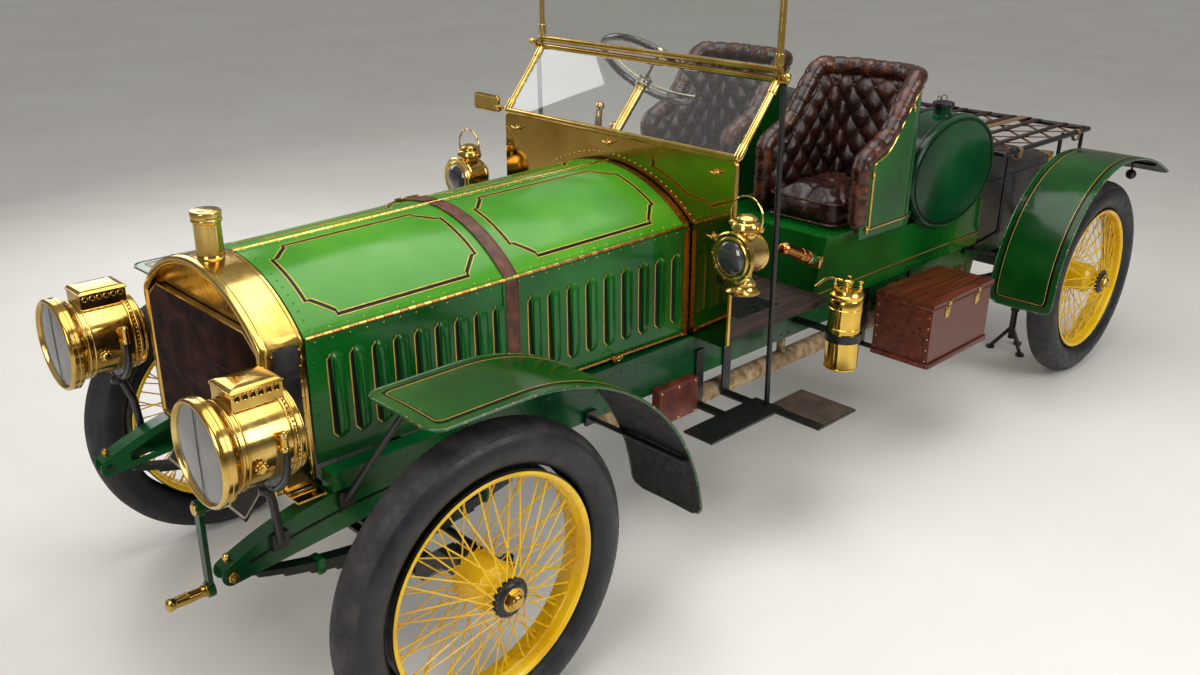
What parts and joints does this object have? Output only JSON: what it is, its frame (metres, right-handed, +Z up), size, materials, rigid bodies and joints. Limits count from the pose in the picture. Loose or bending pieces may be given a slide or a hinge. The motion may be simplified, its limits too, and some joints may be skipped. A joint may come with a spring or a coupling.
{
  "type": "brass era race car",
  "caption": "Two-seat open racing car of the brass era with wire wheels, louvred bonnet, drum tank, folding windscreen and luggage rack.",
  "frame": {"origin": "on the floor under the middle of the car's length and width", "axes": "+X to the car's left, +Y to its tail, +Z up"},
  "size_m": [1.692, 4.6007, 1.95],
  "materials": {
    "green_paint": "gloss coach enamel",
    "yellow_paint": "gloss enamel",
    "brass": "polished",
    "black_iron": "black enamel",
    "tyre_rubber": "matt",
    "seat_leather": "worn, semi gloss",
    "mahogany": "varnished",
    "floor_wood": "oiled",
    "clear_glass": "polished",
    "core_metal": "dark lacquer",
    "engine_metal": "painted grey",
    "lagging": "wound lagging",
    "dark_rim": "ebonised"
  },
  "bodies": {
    "chassis": {"air_pump": "brass", "axle_stands": "black_iron", "body_tub": "green_paint", "bonnet_hinge_rod": "brass", "chassis_frame": "green_paint", "dash_panel": "brass", "engine_block": "engine_metal", "exhaust": "lagging", "floor_boards": "floor_wood", "front_axle": "black_iron", "fuel_tank": "green_paint", "gas_generator": "brass", "gearbox_and_shaft": "engine_metal", "headlamps": "brass", "iron_stays": "black_iron", "leaf_springs": "black_iron", "levers_and_pedals": "black_iron", "luggage_rack": "black_iron", "number_plate": "black_iron", "radiator_core": "core_metal", "radiator_shell": "brass", "rear_axle": "black_iron", "rear_trunk": "black_iron", "screen_and_lamp_glass": "clear_glass", "screen_lower": "brass", "seat_cushions": "seat_leather", "seat_leathers": "seat_leather", "side_casing": "mahogany", "side_lamps": "brass", "steering_column": "brass", "steps": "black_iron", "tail_lamp": "black_iron", "toolbox": "mahogany", "wings": "green_paint"},
    "front_left_wheel": {"tyre_front_left": "tyre_rubber", "wheel_front_left": "yellow_paint"},
    "front_right_wheel": {"tyre_front_right": "tyre_rubber", "wheel_front_right": "yellow_paint"},
    "rear_left_wheel": {"tyre_rear_left": "tyre_rubber", "wheel_rear_left": "yellow_paint"},
    "rear_right_wheel": {"tyre_rear_right": "tyre_rubber", "wheel_rear_right": "yellow_paint"},
    "left_knuckle": {"knuckle_left": "black_iron"},
    "right_knuckle": {"knuckle_right": "black_iron"},
    "track_rod": {"track_rod": "black_iron"},
    "steering_wheel": {"steering_wheel": "dark_rim"},
    "bonnet_top_left": {"bonnet_top_left": "green_paint"},
    "bonnet_side_left": {"bonnet_side_left": "green_paint"},
    "bonnet_top_right": {"bonnet_top_right": "green_paint"},
    "bonnet_side_right": {"bonnet_side_right": "green_paint"},
    "toolbox_lid": {"toolbox_lid": "mahogany"},
    "upper_screen": {"screen_upper": "brass", "screen_pane_upper": "clear_glass"},
    "starting_handle": {"starting_handle": "green_paint"}
  },
  "joints": [
    {"name": "steering_wheel_turn", "type": "hinge", "parent": "chassis", "child": "steering_wheel", "pos_m": [-0.36, -0.063, 1.386], "axis": [0, 0.6561, 0.7547], "range_deg": [-300, 300]},
    {"name": "steer_left", "type": "hinge", "parent": "chassis", "child": "left_knuckle", "pos_m": [0.62, -1.739, 0.44], "axis": [0, 0, 1], "range_deg": [-25, 25]},
    {"name": "steer_right", "type": "hinge", "parent": "chassis", "child": "right_knuckle", "pos_m": [-0.62, -1.739, 0.44], "axis": [0, 0, 1], "range_deg": [-25, 25]},
    {"name": "track_rod_pivot", "type": "hinge", "parent": "left_knuckle", "child": "track_rod", "pos_m": [0.62, -1.589, 0.3615], "axis": [0, 0, 1], "range_deg": [-25, 25]},
    {"name": "front_left_roll", "type": "hinge", "parent": "left_knuckle", "child": "front_left_wheel", "pos_m": [0.7235, -1.739, 0.44], "axis": [1, 0, 0], "continuous": true},
    {"name": "front_right_roll", "type": "hinge", "parent": "right_knuckle", "child": "front_right_wheel", "pos_m": [-0.7235, -1.739, 0.44], "axis": [1, 0, 0], "continuous": true},
    {"name": "rear_left_roll", "type": "hinge", "parent": "chassis", "child": "rear_left_wheel", "pos_m": [0.7235, 1.748, 0.446], "axis": [1, 0, 0], "continuous": true},
    {"name": "rear_right_roll", "type": "hinge", "parent": "chassis", "child": "rear_right_wheel", "pos_m": [-0.7235, 1.748, 0.446], "axis": [1, 0, 0], "continuous": true},
    {"name": "bonnet_left_lift", "type": "hinge", "parent": "chassis", "child": "bonnet_top_left", "pos_m": [0, -1.963, 1.192], "axis": [0, -0.9997, -0.0242], "range_deg": [0, 60]},
    {"name": "bonnet_left_fold", "type": "hinge", "parent": "bonnet_top_left", "child": "bonnet_side_left", "pos_m": [0.326, -1.963, 1.042], "axis": [0.0327, 0.9991, 0.026], "range_deg": [0, 60]},
    {"name": "bonnet_right_lift", "type": "hinge", "parent": "chassis", "child": "bonnet_top_right", "pos_m": [0, -1.963, 1.192], "axis": [0, 0.9997, 0.0242], "range_deg": [0, 60]},
    {"name": "bonnet_right_fold", "type": "hinge", "parent": "bonnet_top_right", "child": "bonnet_side_right", "pos_m": [-0.326, -1.963, 1.042], "axis": [0.0327, -0.9991, -0.026], "range_deg": [0, 60]},
    {"name": "toolbox_lid_lift", "type": "hinge", "parent": "chassis", "child": "toolbox_lid", "pos_m": [0.478, 0.616, 0.645], "axis": [0, -1, 0], "range_deg": [0, 75]},
    {"name": "upper_screen_fold", "type": "hinge", "parent": "chassis", "child": "upper_screen", "pos_m": [0, -0.437, 1.546], "axis": [1, 0, 0], "range_deg": [0, 90]},
    {"name": "starting_handle_turn", "type": "hinge", "parent": "chassis", "child": "starting_handle", "pos_m": [0, -2.15, 0.508], "axis": [0, 1, 0], "continuous": true}
  ],
  "couplings": [
    {"joint": "steer_left", "follows": "steering_wheel_turn", "ratio": 0.083333},
    {"joint": "steer_right", "follows": "steering_wheel_turn", "ratio": 0.083333},
    {"joint": "track_rod_pivot", "follows": "steering_wheel_turn", "ratio": -0.083333},
    {"joint": "bonnet_left_fold", "follows": "bonnet_left_lift", "ratio": 1},
    {"joint": "bonnet_right_fold", "follows": "bonnet_right_lift", "ratio": 1}
  ]
}
